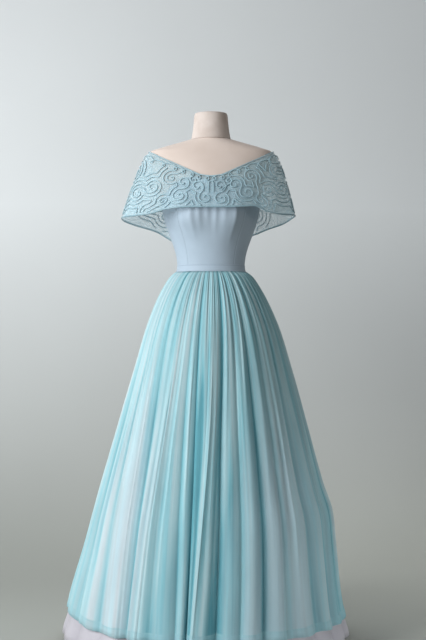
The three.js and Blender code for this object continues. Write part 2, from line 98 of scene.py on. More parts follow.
def placed(turn, radius, z):
    turn, radius, z = np.broadcast_arrays(turn, radius, z)
    return np.stack([radius * np.sin(np.radians(turn)), -radius * np.cos(np.radians(turn)), z], axis=-1)


def ovalRadius(turn, left, right, front, back):
    across, along = np.sin(np.radians(turn)), np.cos(np.radians(turn))
    return 1 / np.hypot(across / np.where(across < 0, left, right), along / np.where(along > 0, front, back))


def meshObject(name, points, faces, material, rides=True):
    mesh = bpy.data.meshes.new(name)
    mesh.from_pydata((np.asarray(points) / 1000).tolist(), [], faces)
    mesh.polygons.foreach_set("use_smooth", [True] * len(mesh.polygons))
    mesh.materials.append(material)
    piece = bpy.data.objects.new(name, mesh)
    bpy.context.scene.collection.objects.link(piece)
    if rides:
        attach(piece, "root")
    return piece


def gridFaces(rowCount, columnCount, closed=False):
    across = columnCount if closed else columnCount - 1
    i, j = np.meshgrid(np.arange(rowCount - 1), np.arange(across), indexing="ij")
    here, beside = i * columnCount + j, i * columnCount + (j + 1) % columnCount
    return np.stack([here, here + columnCount, beside + columnCount, beside], axis=-1).reshape(-1, 4).tolist()


def clothObject(name, grid, material, thickness, marks=None, closed=False):
    # a sheet from a grid of points, row by row from its top edge, with its arc lengths in metres as its map
    piece = meshObject(name, grid.reshape(-1, 3), gridFaces(*grid.shape[:2], closed), material)
    mesh = piece.data
    across = np.linalg.norm(np.diff(grid, axis=1), axis=2).mean(axis=0)
    down = np.linalg.norm(np.diff(grid, axis=0), axis=2).mean(axis=1)
    u = np.concatenate([[0], np.cumsum(across)]) / 1000
    v = -np.concatenate([[0], np.cumsum(down)]) / 1000
    flat = np.stack(np.meshgrid(u, v), axis=-1).reshape(-1, 2)
    corners = np.empty(len(mesh.loops), int)
    mesh.loops.foreach_get("vertex_index", corners)
    mesh.uv_layers.new(name="cloth").data.foreach_set("uv", flat[corners].ravel())
    for mark, values in (marks or {}).items():
        layer = mesh.attributes.new(mark, "FLOAT", "POINT")
        layer.data.foreach_set("value", np.broadcast_to(values, grid.shape[:2]).ravel())
    shell = piece.modifiers.new("cloth thickness", "SOLIDIFY")
    shell.thickness = thickness / 1000
    shell.offset = 0
    return piece


def ringObject(name, rings, material):
    # a whole body from rings stacked upward, capped at both ends
    around = rings.shape[1]
    faces = [face[::-1] for face in gridFaces(len(rings), around, True)]
    faces.append(list(range(around))[::-1])
    faces.append([(len(rings) - 1) * around + k for k in range(around)])
    return meshObject(name, rings.reshape(-1, 3), faces, material)


def linear(hexColour):
    channels = [int(hexColour[k:k + 2], 16) / 255 for k in (1, 3, 5)]
    return tuple(c / 12.92 if c <= 0.04045 else ((c + 0.055) / 1.055) ** 2.4 for c in channels) + (1.0,)


def addNode(tree, kind, settings=None, links=None):  # "steps" are a ramp's places and colours
    node = tree.nodes.new("ShaderNode" + kind)
    for key, value in (settings or {}).items():
        if key == "steps":
            elements = node.color_ramp.elements
            for k, (place, colour) in enumerate(value):
                element = elements[k] if k < 2 else elements.new(place)
                element.position = place
                element.color = linear(colour)
        elif isinstance(key, str) and hasattr(node, key):
            setattr(node, key, value)
        else:
            node.inputs[key].default_value = value
    for key, source in (links or {}).items():
        tree.links.new(source, node.inputs[key])
    return node


def newMaterial(name):
    material = bpy.data.materials.new(name)
    material.use_nodes = True
    material.node_tree.nodes.clear()
    return material, material.node_tree


def finishMaterial(tree, settings, links):
    shader = addNode(tree, "BsdfPrincipled", settings, links)
    addNode(tree, "OutputMaterial", links={"Surface": shader.outputs[0]})


def weaveHeight(tree, threadMm, roughMm):
    # crossing threads, in metres of cloth, with soft slubs over them
    cloth = addNode(tree, "UVMap", {"uv_map": "cloth"})
    scale = 1000 / threadMm / 20 * math.pi  # a wave's phase is 20 times its scale, so a thread is half a wave
    warp = addNode(tree, "TexWave", {"bands_direction": "X", "Scale": scale, "Distortion": 0.4},
                   {"Vector": cloth.outputs[0]})
    weft = addNode(tree, "TexWave", {"bands_direction": "Y", "Scale": scale, "Distortion": 0.4},
                   {"Vector": cloth.outputs[0]})
    slub = addNode(tree, "TexNoise", {"Scale": 1000 / roughMm, "Detail": 3}, {"Vector": cloth.outputs[0]})
    threads = addNode(tree, "Math", {"operation": "MULTIPLY"}, {0: warp.outputs["Fac"], 1: weft.outputs["Fac"]})
    return addNode(tree, "Math", {"operation": "ADD"}, {0: threads.outputs[0], 1: slub.outputs["Fac"]}).outputs[0]


def tinted(tree, base, scale, dark, light, stretch=(1, 1, 1)):
    # uneven dye: a soft noise in object space that darkens and lightens the colour a little
    place = addNode(tree, "TexCoord")
    stretched = addNode(tree, "Mapping", {"Scale": stretch}, {"Vector": place.outputs["Object"]})
    noise = addNode(tree, "TexNoise", {"Scale": scale, "Detail": 3}, {"Vector": stretched.outputs[0]})
    span = addNode(tree, "MapRange", {"From Min": 0.3, "From Max": 0.7, "To Min": dark, "To Max": light},
                   {"Value": noise.outputs["Fac"]})
    return addNode(tree, "Mix", {"data_type": "RGBA", "blend_type": "MULTIPLY", 0: 1.0},
                   {6: base, 7: span.outputs[0]}).outputs[2]


def paintedShadeColour(tree, over, within):
    # one colour where the cloth is lit and another as painted shade in its folds, seams and grooves, by the
    # cloth's painted shade mark
    depth = addNode(tree, "Attribute", {"attribute_name": "toneAndPaintedShade"})
    return addNode(tree, "ValToRGB", {"steps": [(0.0, over), (1.0, within)]},
                   {"Fac": depth.outputs["Fac"]}).outputs[0]


def worn(tree, scale, detail, fresh, rubbed):
    # patches of wear in object space: the noise and its colour, from (place, colour) of the fresh and the rubbed
    place = addNode(tree, "TexCoord")
    noise = addNode(tree, "TexNoise", {"Scale": scale, "Detail": detail}, {"Vector": place.outputs["Object"]})
    colour = addNode(tree, "ValToRGB", {"steps": [fresh, rubbed]}, {"Fac": noise.outputs["Fac"]})
    return noise.outputs["Fac"], colour.outputs[0]


def grained(tree, scale, detail, strength, rise):
    # a fine grain in object space that raises the surface
    place = addNode(tree, "TexCoord")
    grain = addNode(tree, "TexNoise", {"Scale": scale, "Detail": detail}, {"Vector": place.outputs["Object"]})
    bump = addNode(tree, "Bump", {"Strength": strength, "Distance": rise}, {"Height": grain.outputs["Fac"]})
    return bump.outputs[0]


# crest to deep follow the painted shade mark: deeper where folds lie over each other, and darker in the hollows
# as painted shade
chiffonLook = {"crest": "#c8d9de", "side": "#a7cad1", "valley": "#7fb1bb", "deep": "#5c98a4",
               "touching": "#bfc7cf", "hem": "#8fb9c2", "sheer": 0.7, "dense": 0.95, "streaks": (52, 0.9, 1),
               "streakTone": 0.24, "streakRise": 0.007}


def makeChiffon():
    # silk chiffon, plain weave of crepe-twist yarn: sheer and matt, drawn into fine lengthwise streaks by its
    # gathers, deeper where folds lie over each other, and darker in its hollows as painted shade
    look = chiffonLook
    material, tree = newMaterial("silk chiffon")
    depth = addNode(tree, "Attribute", {"attribute_name": "toneAndPaintedShade"})
    touch = addNode(tree, "Attribute", {"attribute_name": "touching"})
    hem = addNode(tree, "Attribute", {"attribute_name": "hemBand"})
    cloth = addNode(tree, "UVMap", {"uv_map": "cloth"})
    drawn = addNode(tree, "Mapping", {"Scale": look["streaks"]}, {"Vector": cloth.outputs[0]})
    streak = addNode(tree, "TexNoise", {"Scale": 1, "Detail": 3}, {"Vector": drawn.outputs[0]})
    drift = addNode(tree, "MapRange", {"From Min": 0.38, "From Max": 0.62, "To Min": -look["streakTone"],
                                       "To Max": look["streakTone"]},
                    {"Value": streak.outputs["Fac"]})
    tone = addNode(tree, "Math", {"operation": "ADD"}, {0: depth.outputs["Fac"], 1: drift.outputs[0]})
    steps = [(0.0, look["crest"]), (0.35, look["side"]), (0.75, look["valley"]), (1.0, look["deep"])]
    colour = addNode(tree, "ValToRGB", {"steps": steps}, {"Fac": tone.outputs[0]})
    # the lilac underskirt shows where the chiffon lies on it
    pale = addNode(tree, "Mix", {"data_type": "RGBA", 7: linear(look["touching"])},
                   {0: touch.outputs["Fac"], 6: colour.outputs[0]})
    folded = addNode(tree, "Mix", {"data_type": "RGBA", 7: linear(look["hem"])},
                     {0: hem.outputs["Fac"], 6: pale.outputs[2]})
    opacity = addNode(tree, "MapRange", {"From Min": 0.38, "From Max": 0.62, "To Min": look["sheer"],
                                         "To Max": look["dense"]}, {"Value": streak.outputs["Fac"]})
    pull = addNode(tree, "Bump", {"Strength": 0.6, "Distance": look["streakRise"]},
                   {"Height": streak.outputs["Fac"]})
    # the real threads are 0.2 mm apart, drawn coarser
    bump = addNode(tree, "Bump", {"Strength": 0.25, "Distance": 0.00025},
                   {"Height": weaveHeight(tree, 1.4, 3), "Normal": pull.outputs[0]})
    # light goes through the thin cloth and comes out softened
    finishMaterial(tree, {"Roughness": 0.9, "Sheen Weight": 0.06, "Sheen Roughness": 0.5,
                          "Specular IOR Level": 0.12, "Subsurface Weight": 0.4, "Subsurface Radius": (1, 1, 1),
                          "Subsurface Scale": 0.005},
                   {"Base Color": tinted(tree, folded.outputs[2], 9, 0.95, 1.04, (2.2, 2.2, 0.3)),
                    "Alpha": opacity.outputs[0], "Normal": bump.outputs[0]})
    return material


# crest colour over the folds, valley colour as painted shade in them
taffetaLook = {"crest": "#aeabb2", "valley": "#96939c"}


def makeTaffeta():
    # acetate taffeta: crisp, tightly woven, a low even sheen, and painted shade in its fold valleys
    material, tree = newMaterial("acetate taffeta")
    colour = paintedShadeColour(tree, taffetaLook["crest"], taffetaLook["valley"])
    bump = addNode(tree, "Bump", {"Strength": 0.2, "Distance": 0.0002}, {"Height": weaveHeight(tree, 1.2, 4)})
    finishMaterial(tree, {"Roughness": 0.55, "Sheen Weight": 0.15},
                   {"Base Color": tinted(tree, colour, 12, 0.95, 1.04), "Normal": bump.outputs[0]})
    return material


# face colour, and seam colour as painted shade along the seams
crepeLook = {"face": "#9faebb", "seam": "#8a9aa6"}


def makeCrepe():
    # satin-backed rayon crepe, dull side out: pebbled by twisted yarn, with a soft glow along its folds and
    # painted shade along its seams, the waistband's edges and the placket's stitch line
    material, tree = newMaterial("satin-backed crepe")
    colour = paintedShadeColour(tree, crepeLook["face"], crepeLook["seam"])
    # crepe pebbles 1.4 mm across
    finishMaterial(tree, {"Roughness": 0.6, "Sheen Weight": 0.1, "Specular IOR Level": 0.25},
                   {"Base Color": tinted(tree, colour, 14, 0.96, 1.03),
                    "Normal": grained(tree, 700, 4, 0.35, 0.00025)})
    return material


netLook = {"thread": "#cbe8f2", "shade": "#a5d0de", "thick": 0.8, "thin": 0.26}


def makeNet():
    # nylon net: hexagons 1.5 mm across, so thin that what lies behind shows through
    look = netLook
    material, tree = newMaterial("nylon net")
    cloth = addNode(tree, "UVMap", {"uv_map": "cloth"})
    # drawn at 2 mm, a little over its real size, to show
    holes = addNode(tree, "TexVoronoi", {"feature": "DISTANCE_TO_EDGE", "Scale": 500, "Randomness": 0.15},
                    {"Vector": cloth.outputs[0]})
    thread = addNode(tree, "MapRange", {"From Min": 0.02, "From Max": 0.14, "To Min": look["thick"],
                                        "To Max": look["thin"]}, {"Value": holes.outputs["Distance"]})
    colour = addNode(tree, "ValToRGB", {"steps": [(0.0, look["thread"]), (0.3, look["shade"])]},
                     {"Fac": holes.outputs["Distance"]})
    bump = addNode(tree, "Bump", {"Strength": 0.2, "Distance": 0.0003}, {"Height": holes.outputs["Distance"]})
    finishMaterial(tree, {"Roughness": 0.6, "Sheen Weight": 0.25, "Subsurface Weight": 0.6,
                          "Subsurface Radius": (1, 1, 1), "Subsurface Scale": 0.006},
                   {"Base Color": tinted(tree, colour.outputs[0], 16, 0.95, 1.05), "Alpha": thread.outputs[0],
                    "Normal": bump.outputs[0]})
    return material


# crown: the painted highlight; side: the painted shade at the sides and in the groove
braidLook = {"crown": "#c0e2ec", "side": "#1f4757"}


def makeBraid():
    # rayon soutache braid: two satin ribs plaited over cords, with a painted highlight on their crowns and
    # painted shade at their sides and in the groove
    material, tree = newMaterial("soutache braid")
    colour = paintedShadeColour(tree, braidLook["crown"], braidLook["side"])
    finishMaterial(tree, {"Roughness": 0.42, "Sheen Weight": 0.15},
                   {"Base Color": tinted(tree, colour, 40, 0.94, 1.05),
                    "Normal": grained(tree, 1200, 2, 0.4, 0.00015)})
    return material


jerseyLook = {"cover": "#cbbdb4", "wear": "#c0b0a5"}


def makeJersey():
    # cotton jersey stretched over the form: fine knit ribs, matt and warm
    material, tree = newMaterial("cotton jersey")
    place = addNode(tree, "TexCoord")
    knit = addNode(tree, "TexWave", {"bands_direction": "X", "Scale": 120, "Distortion": 1.2, "Detail": 2},
                   {"Vector": place.outputs["Object"]})
    _, colour = worn(tree, 7, 4, (0.35, jerseyLook["cover"]), (0.7, jerseyLook["wear"]))
    bump = addNode(tree, "Bump", {"Strength": 0.12, "Distance": 0.0002}, {"Height": knit.outputs["Fac"]})
    finishMaterial(tree, {"Roughness": 0.82, "Sheen Weight": 0.1, "Specular IOR Level": 0.3},
                   {"Base Color": colour, "Normal": bump.outputs[0]})
    return material


neckLook = {"paint": "#c4b9b2", "wear": "#b8aaa1"}


def makeNeckPaint():
    # papier-mache neck block, brush painted off-white: matt, slightly uneven
    material, tree = newMaterial("painted papier-mache")
    patches, colour = worn(tree, 22, 5, (0.4, neckLook["paint"]), (0.75, neckLook["wear"]))
    bump = addNode(tree, "Bump", {"Strength": 0.3, "Distance": 0.0004}, {"Height": patches})
    finishMaterial(tree, {"Roughness": 0.7, "Specular IOR Level": 0.3},
                   {"Base Color": colour, "Normal": bump.outputs[0]})
    return material


standLook = {"paint": "#8e8b86", "wear": "#a19e98"}


def makeSteelPaint():
    # steel pole and base, powder coated: an even satin grey with a faint orange-peel skin
    material, tree = newMaterial("powder-coated steel")
    scuff, colour = worn(tree, 14, 5, (0.4, standLook["paint"]), (0.8, standLook["wear"]))
    wear = addNode(tree, "MapRange", {"To Min": 0.35, "To Max": 0.55}, {"Value": scuff})
    finishMaterial(tree, {"Metallic": 0.0}, {"Base Color": colour, "Roughness": wear.outputs[0],
                                             "Normal": grained(tree, 500, 2, 0.1, 0.0001)})
    return material


chiffon, taffeta, crepe, net = makeChiffon(), makeTaffeta(), makeCrepe(), makeNet()
braid, jersey, neckPaint, steelPaint = makeBraid(), makeJersey(), makeNeckPaint(), makeSteelPaint()
print("materials made")

form = {
    # height, half width, half depth to the front and to the back
    "sections": [(905, 150, 98, 106), (940, 158, 106, 116), (985, 161, 110, 121), (1040, 151, 107, 114),
                 (1080, 138, 102, 104), (1120, 121, 94, 93), (1168, 106.5, 86, 84), (1190, 104.6, 85, 82),
                 (1214, 107, 87, 82), (1244, 114.4, 92, 85), (1288, 130.2, 104, 92), (1335, 146, 119, 100),
                 (1381, 155.5, 125, 107), (1420, 163, 121, 111), (1464, 176, 110, 109), (1506, 190, 94, 102),
                 (1536, 198, 80, 92), (1553, 194, 72, 84), (1566, 160, 67, 76), (1580, 110, 62, 69),
                 (1592, 66, 60, 62)],
    "bust": {"turn": 31, "spread": 17, "z": 1335, "height": 50, "rise": 13},
    "columns": 120,
    # the rings run from one height to another: from, to, how many
    "rings": [(905, 1500, 70), (1505, 1592, 36)],
    # radius, height
    "neck": [(63.5, 1592.4), (63.2, 1594), (61, 1605), (59, 1616), (57.4, 1628), (55.6, 1645), (53.8, 1664),
             (52.8, 1671), (51.4, 1674.6), (49, 1676)],
}
sections = form["sections"]
torsoSide, torsoFront, torsoBack = (curve(sections, k) for k in (1, 2, 3))


def torsoRadius(turn, z):
    bust = form["bust"]
    oval = ovalRadius(turn, torsoSide(z), torsoSide(z), torsoFront(z), torsoBack(z))
    across = (np.abs(wrapTurn(turn)) - bust["turn"]) / bust["spread"]
    return oval + bust["rise"] * np.exp(-across ** 2 - ((z - bust["z"]) / bust["height"]) ** 2)


def buildForm():
    turns = np.linspace(-180, 180, form["columns"], endpoint=False)
    heights = np.concatenate([np.linspace(*stretch) for stretch in form["rings"]])
    rings = placed(turns[None, :], torsoRadius(turns[None, :], heights[:, None]), heights[:, None])
    torso = ringObject("form_cover", rings, jersey)
    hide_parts("form_torso")
    profile = np.array(form["neck"])
    rings = placed(turns[None, :], profile[:, :1], profile[:, 1:])
    neck = ringObject("neck_block", rings, neckPaint)
    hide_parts("form_neck")
    for name in ("stand_base", "stand_pole"):
        cadNodes[name].data.materials.clear()
        cadNodes[name].data.materials.append(steelPaint)
    print("form and stand made")

bodice = {
    "waistTop": 1189, "waistBottom": 1169, "ease": 2.1, "cloth": 1.4, "shell": 1.0, "rows": 84,
    "topEdge": [(0, 1452), (30, 1462), (50, 1446), (70, 1408), (90, 1386), (112, 1404), (150, 1436), (180, 1444)],
    # panel, its first and last turn
    "panels": [("back_left", -180, -104), ("side_left", -104, -48), ("front", -48, 48), ("side_right", 48, 104),
               ("back_right", 104, 180)],
    # gathers under the cape: turn, rise, length
    "shirring": [(-40, 3.2, 130), (-27, 3.8, 150), (-16.5, 3.4, 118), (-5, 2.8, 92), (7, 3.2, 128),
                 (19, 2.9, 104), (33, 3.8, 160)],
    "shirringSpread": 3.4, "shirringTop": 1392, "shirringSoft": 10, "shirringFade": 34,
    # a seam is a narrow dip with a faint shade; a turn is measured in mm at its radius
    "seam": {"radius": 130, "dip": 0.2, "dipWidth": 1.6, "shade": 0.2, "shadeWidth": 1.4},
}
bodiceTop = curve(bodice["topEdge"])


def shirringRise(turn, z):
    top, spread = bodice["shirringTop"], bodice["shirringSpread"]
    soft = top - bodice["shirringSoft"]
    rise = 0
    for middle, height, length in bodice["shirring"]:
        rise = rise + height * np.exp(-((wrapTurn(turn) - middle) / spread) ** 2) * smooth(top - length, soft, z)
    return rise * (1 - smooth(top, top + bodice["shirringFade"], z))


def buildBodice():
    pieces = []
    seam = bodice["seam"]
    for name, start, end in bodice["panels"]:
        turns = np.linspace(start, end, end - start + 1)[None, :]
        ways = np.linspace(0, 1, bodice["rows"])[:, None]
        z = mix(bodiceTop(np.abs(wrapTurn(turns))), bodice["waistTop"] - 1, ways)
        radius = torsoRadius(turns, z) + bodice["ease"] + bodice["cloth"] / 2 + shirringRise(turns, z)
        edge = np.radians(np.minimum(turns - start, end - turns)) * seam["radius"]
        dip = seam["dip"] * np.exp(-(edge / seam["dipWidth"]) ** 2)
        shade = seam["shade"] * np.exp(-(edge / seam["shadeWidth"]) ** 2)
        piece = clothObject("crepe_" + name, placed(turns, radius - dip, z), crepe, bodice["shell"],
                            {"toneAndPaintedShade": shade})
        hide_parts("bodice_" + name)
        pieces.append(piece)
    print("bodice made")
    return pieces


# height, ease over the form
waistbandShape = {"profile": [(1188.8, 2.6), (1179, 2.2), (1169.2, 3.6)], "cloth": 2, "shell": 1.4,
                  "columns": 240, "rows": 9, "edgeShade": 0.15, "edgeWidth": 1.2}


def buildWaistband():
    shape = waistbandShape
    turns = np.linspace(-180, 180, shape["columns"], endpoint=False)[None, :]
    z = np.linspace(shape["profile"][0][0], shape["profile"][-1][0], shape["rows"])[:, None]
    radius = torsoRadius(turns, z) + curve(shape["profile"])(z) + shape["cloth"] / 2
    edge = np.minimum(z - bodice["waistBottom"], bodice["waistTop"] - z)
    shade = shape["edgeShade"] * np.exp(-(edge / shape["edgeWidth"]) ** 2)
    band = clothObject("crepe_waistband", placed(turns, radius, z), crepe, shape["shell"],
                       {"toneAndPaintedShade": shade}, closed=True)
    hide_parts("waistband")
    print("waistband made")
    return band


# the lap over the back closing, with a line of stitches inside its edges drawn as a painted shade
placketShape = {"halfTurn": 6.84, "start": 0.16, "aboveBand": 0.4, "lift": 0.5, "shell": 1.0, "columns": 15,
                "rows": 60, "radius": 90, "stitchIn": 4, "stitchWidth": 0.7, "stitchShade": 0.8}


def buildPlacket():
    shape = placketShape
    half = shape["halfTurn"]
    turns = np.linspace(180 - half, 180 + half, shape["columns"])[None, :]
    ways = np.linspace(shape["start"], 1, shape["rows"])[:, None]
    z = mix(bodiceTop(np.abs(wrapTurn(turns))), bodice["waistTop"] + shape["aboveBand"], ways)
    radius = torsoRadius(turns, z) + bodice["ease"] + bodice["cloth"] * 2 + shape["lift"]
    edge = np.radians(half - np.abs(turns - 180)) * shape["radius"]
    shade = shape["stitchShade"] * np.exp(-((edge - shape["stitchIn"]) / shape["stitchWidth"]) ** 2)
    placket = clothObject("crepe_placket", placed(turns, radius, z), crepe, shape["shell"], {"toneAndPaintedShade": shade})
    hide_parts("back_placket")
    print("placket made")
    return placket

skirt = {
    # "drift" is how far the hem rides up at the left side and at the right one
    "waist": 1169, "start": 1168.8, "chiffonHem": 88, "underskirtHem": 27, "drift": (26, -4),
    # height, half width at the left, at the right, half depth at the front, at the back
    "outline": [(27, 474, 440, 456, 458), (94, 466, 432, 450, 452), (120, 461, 424, 444, 446),
                (312, 406, 400, 404, 406), (408, 380, 390, 382, 384), (504, 352, 358, 354, 356),
                (696, 294, 304, 298, 302), (888, 237, 250, 242, 246), (985, 209, 220, 210, 214),
                (1080, 173, 179, 166, 168), (1120, 152.6, 156.8, 140, 141), (1157, 128, 131, 109, 107),
                (1169, 113.2, 113.2, 92.7, 90.7)],
    # a flute: its valley's turn at the waist and hem, its crest's, the valley's depth, how far the crest sinks,
    # and how many gathers feed it
    "frontFlutes": [(-101, -98, -94, -90, 40, 0, 2), (-87, -81, -81, -72, 38, 0, 2),
                    (-74, -63, -68, -56, 34, 0, 2), (-61, -48, -53, -39.5, 40, 0, 3),
                    (-41, -33.5, -31, -29, 34, 0, 2), (-24.5, -24, -20.5, -19, 30, 4, 1),
                    (-15.8, -14.6, -12.8, -12.5, 46, 16, 1), (-9.6, -10.4, 2, -5.5, 44, 0, 3),
                    (12, 1.8, 16, 5.6, 56, 10, 1), (22, 10.2, 26, 14.6, 44, 6, 1), (31, 20.4, 36, 28.2, 66, 0, 1),
                    (41, 31.8, 48, 39.5, 44, 2, 2), (56, 47, 62, 53, 40, 0, 2), (69, 60, 74, 67, 38, 0, 2),
                    (81, 74, 87, 81, 36, 0, 2)],
    "backFlutes": {"start": 94, "startHem": 89, "end": 259, "endHem": 262, "count": 15, "depth": 42,
                   # how neighbours differ: size, beat, start
                   "valleySwing": (0.24, 2.4, 0.5), "crestSwing": (0.16, 1.9, 1.2), "depthSwing": (12, 1.7, 0.6),
                   "crest": 0.85, "crestNarrow": (0.3, 2.9, 1), "relief": 0.6, "reliefSwing": (0.3, 2.1, 2),
                   "sink": 10},
    # rise in mm, places as shares of the skirt's length, how each gather differs in depth, length and sharpness
    "gathers": {"atWaist": 3.0, "below": 3.3, "deepest": 0.06, "gone": 0.42, "fine": 3, "fineRise": 1.5,
                "fineFrom": 0.02, "fineGone": 0.24, "least": 0.35, "depthBeat": 1.9, "depthStart": 0.4,
                "lengthBeat": 2.3, "lengthStart": 0.9, "broad": 1.2, "narrower": 1.6, "sharpBeat": 1.3},
    "fluteAtWaist": 0.06, "opening": 0.75, "blunt": 0.004,
    # how far each front flute's valley shows, and how narrow its crest is: low is broad, between sharp valleys
    "relief": [0.5, 0.35, 0.4, 0.35, 0.5, 0.4, 0.52, 0.82, 0.82, 0.5, 0.52, 0.36, 0.4, 0.4, 0.35],
    "crests": [0.8, 0.55, 0.9, 0.6, 0.75, 1.1, 0.7, 0.6, 0.9, 0.55, 0.8, 1.3, 0.6, 0.9, 0.7],
    "fluteDepth": 0.8,
    # slow sideways drift of the folds, in degrees
    "sway": {"turn": 1.5, "perGather": 1.3, "perLength": 3.4, "start": 1, "from": 0.05, "full": 0.5,
             "lessBelow": 0.4},
    # broad soft swells between the flutes, in mm
    "soft": {"depth": 4.0, "perGather": 3.8, "uneven": 1.4, "unevenBeat": 1.3, "perLength": 2.1, "from": 0.1,
             "full": 0.7},
    # where the chiffon rests on the underskirt: places around, the first one's angle, slant, unevenness, how pale
    "patches": {"count": 4, "start": -2.45, "lean": 0.8, "level": 0.6, "uneven": 0.3, "most": 0.52},
    # how dark the chiffon is painted: a base, deeper in a hollow where folds lie over each other and as painted
    # shade, less of it high up, painted shade over a gather, a random drift, painted shade in a crease, and from
    # side to side, paler at the left than from the middle on
    "shade": {"base": 0.33, "hollow": 0.7, "highUp": 0.35, "gather": 0.25, "drift": 0.24, "crease": 0.06,
              "left": -0.09, "middle": 0.11},
    # long narrow tucks over the flutes: how many, widths and slant in gathers, least and most rise, less at the
    # waist, and as shares of the skirt's length where they start and end and how softly
    "tucks": {"count": 200, "widths": (0.065, 0.27), "shift": 0.9, "slant": 1.1, "rises": (1.0, 4.3),
              "atWaist": 0.3, "highEnd": (0.25, 0.8), "lowStart": 0.35, "lowEnd": (0.7, 0.6), "early": 0.02,
              "fadeIn": 0.14, "fadeOut": 0.25},
    # the underskirt's distance inside the chiffon
    "gap": {"waist": 1.6, "hip": 5, "hem": 15, "hipHeight": 1100, "lowHeight": 400, "lastBelow": 114},
    "chiffonRows": 78, "rowPower": 1.15, "underskirtRows": 56, "chiffonColumns": 21, "underskirtColumns": 7,
    "hemBand": 25, "hemStitch": 1.2, "hemWave": 1.5, "shell": 0.8,
}
outlineLeft, outlineRight, outlineFront, outlineBack = (curve(skirt["outline"], k) for k in (1, 2, 3, 4))


def skirtRadius(turn, z):
    return ovalRadius(turn, outlineLeft(z), outlineRight(z), outlineFront(z), outlineBack(z))


def allFlutes():
    back = skirt["backFlutes"]
    count = back["count"]
    flutes = list(skirt["frontFlutes"])
    for k in range(count):
        valley = (k + swing(k, *back["valleySwing"]) if k else 0) / count
        crest = (k + 0.5 + swing(k, *back["crestSwing"])) / count
        flutes.append((mix(back["start"], back["end"], valley), mix(back["startHem"], back["endHem"], valley),
                       mix(back["start"], back["end"], crest), mix(back["startHem"], back["endHem"], crest),
                       back["depth"] + swing(k, *back["depthSwing"]), back["sink"] if k % 4 == 2 else 0,
                       1 if k % 2 else 2))
    return flutes


gatherCount = sum(flute[-1] for flute in allFlutes())


def skirtColumns(perGather):
    # for each column around the skirt: its turns at the waist and hem, how deep it lies, its place in its gather
    flutes = allFlutes()
    back = skirt["backFlutes"]
    crests = skirt["crests"] + [back["crest"] + swing(k, *back["crestNarrow"]) for k in range(back["count"])]
    reliefs = skirt["relief"] + [back["relief"] + swing(k, *back["reliefSwing"]) for k in range(back["count"])]
    blunt = skirt["blunt"]
    found = []
    gather = 0
    for k, (valleyWaist, valleyHem, crestWaist, crestHem, depth, sink, gathers) in enumerate(flutes):
        following = (k + 1) % len(flutes)
        after = flutes[following]
        lap = 360 if following == 0 else 0
        count = max(perGather * gathers, int(perGather * 1.5))  # a single gather gets half as many again
        for way in np.arange(count) / count:
            rising = way < 0.5  # from the valley up to the crest, then down to the next valley
            share = 2 * way if rising else 2 * way - 1
            top = (valleyWaist, crestWaist) if rising else (crestWaist, after[0] + lap)
            low = (valleyHem, crestHem) if rising else (crestHem, after[1] + lap)
            near = k if rising else following
            power = crests[near] / 2
            hollow = (1 - ((math.sin(math.pi * way) ** 2 + blunt) / (1 + blunt)) ** power) / (1 - blunt ** power)
            inset = hollow * (depth if rising else after[4]) * reliefs[near] + (1 - hollow) * sink
            found.append((mix(*top, share), mix(*low, share), inset, gathers * way, k, hollow * reliefs[near],
                          gather + gathers * way))
        gather += gathers
    return {key: np.array([row[n] for row in found]) for n, key in
            enumerate(("waist", "hem", "inset", "phase", "flute", "hollow", "gather"))}


def skirtPoints(columns, z, gap, fine):
    # the skirt's surface, and how far its small creases go inward; the underskirt has none of the fine ones
    gathers, sway = skirt["gathers"], skirt["sway"]
    down = np.clip((skirt["waist"] - z) / (skirt["waist"] - skirt["chiffonHem"]), 0, 1)
    turn = mix(columns["waist"], columns["hem"], down)
    started = smooth(0, gathers["deepest"], down)
    opened = mix(skirt["fluteAtWaist"] * started, 1, down ** skirt["opening"])
    fluting = skirt["fluteDepth"] * columns["inset"] * opened
    own = columns["gather"]
    ripple, reach = 1, 1
    if fine:  # each gather has its own depth and length, and a narrow valley between broad crests
        number = np.round(own)
        share = mix(gathers["least"], 1, np.sin(gathers["depthBeat"] * number + gathers["depthStart"]) ** 2)
        reach = mix(gathers["least"], 1, np.sin(gathers["lengthBeat"] * number + gathers["lengthStart"]) ** 2)
        sharp = gathers["broad"] + gathers["narrower"] * np.sin(gathers["sharpBeat"] * number) ** 2
        ripple = (0.5 + 0.5 * np.cos(2 * np.pi * own)) ** sharp * share
    swell = mix(gathers["atWaist"], gathers["below"], started)
    gathering = swell * ripple * (1 - smooth(gathers["deepest"], gathers["gone"], down / reach))
    crease = np.zeros_like(turn)
    if fine:
        fineFolds = 0.5 + 0.5 * np.cos(2 * np.pi * gathers["fine"] * own + 1)
        ending = 1 - smooth(gathers["fineFrom"], gathers["fineGone"], down)
        gathering = gathering + gathers["fineRise"] * fineFolds * ending
        crease = tuckDepth(own, down)
    radius = skirtRadius(turn, z) - fluting - gathering - gap - crease
    if fine:
        drift = np.sin(sway["perGather"] * own + sway["perLength"] * down + sway["start"])
        drift = drift * smooth(sway["from"], sway["full"], down) * (1 - sway["lessBelow"] * down)
        turn = turn + sway["turn"] * drift
    return placed(turn, radius, z), crease


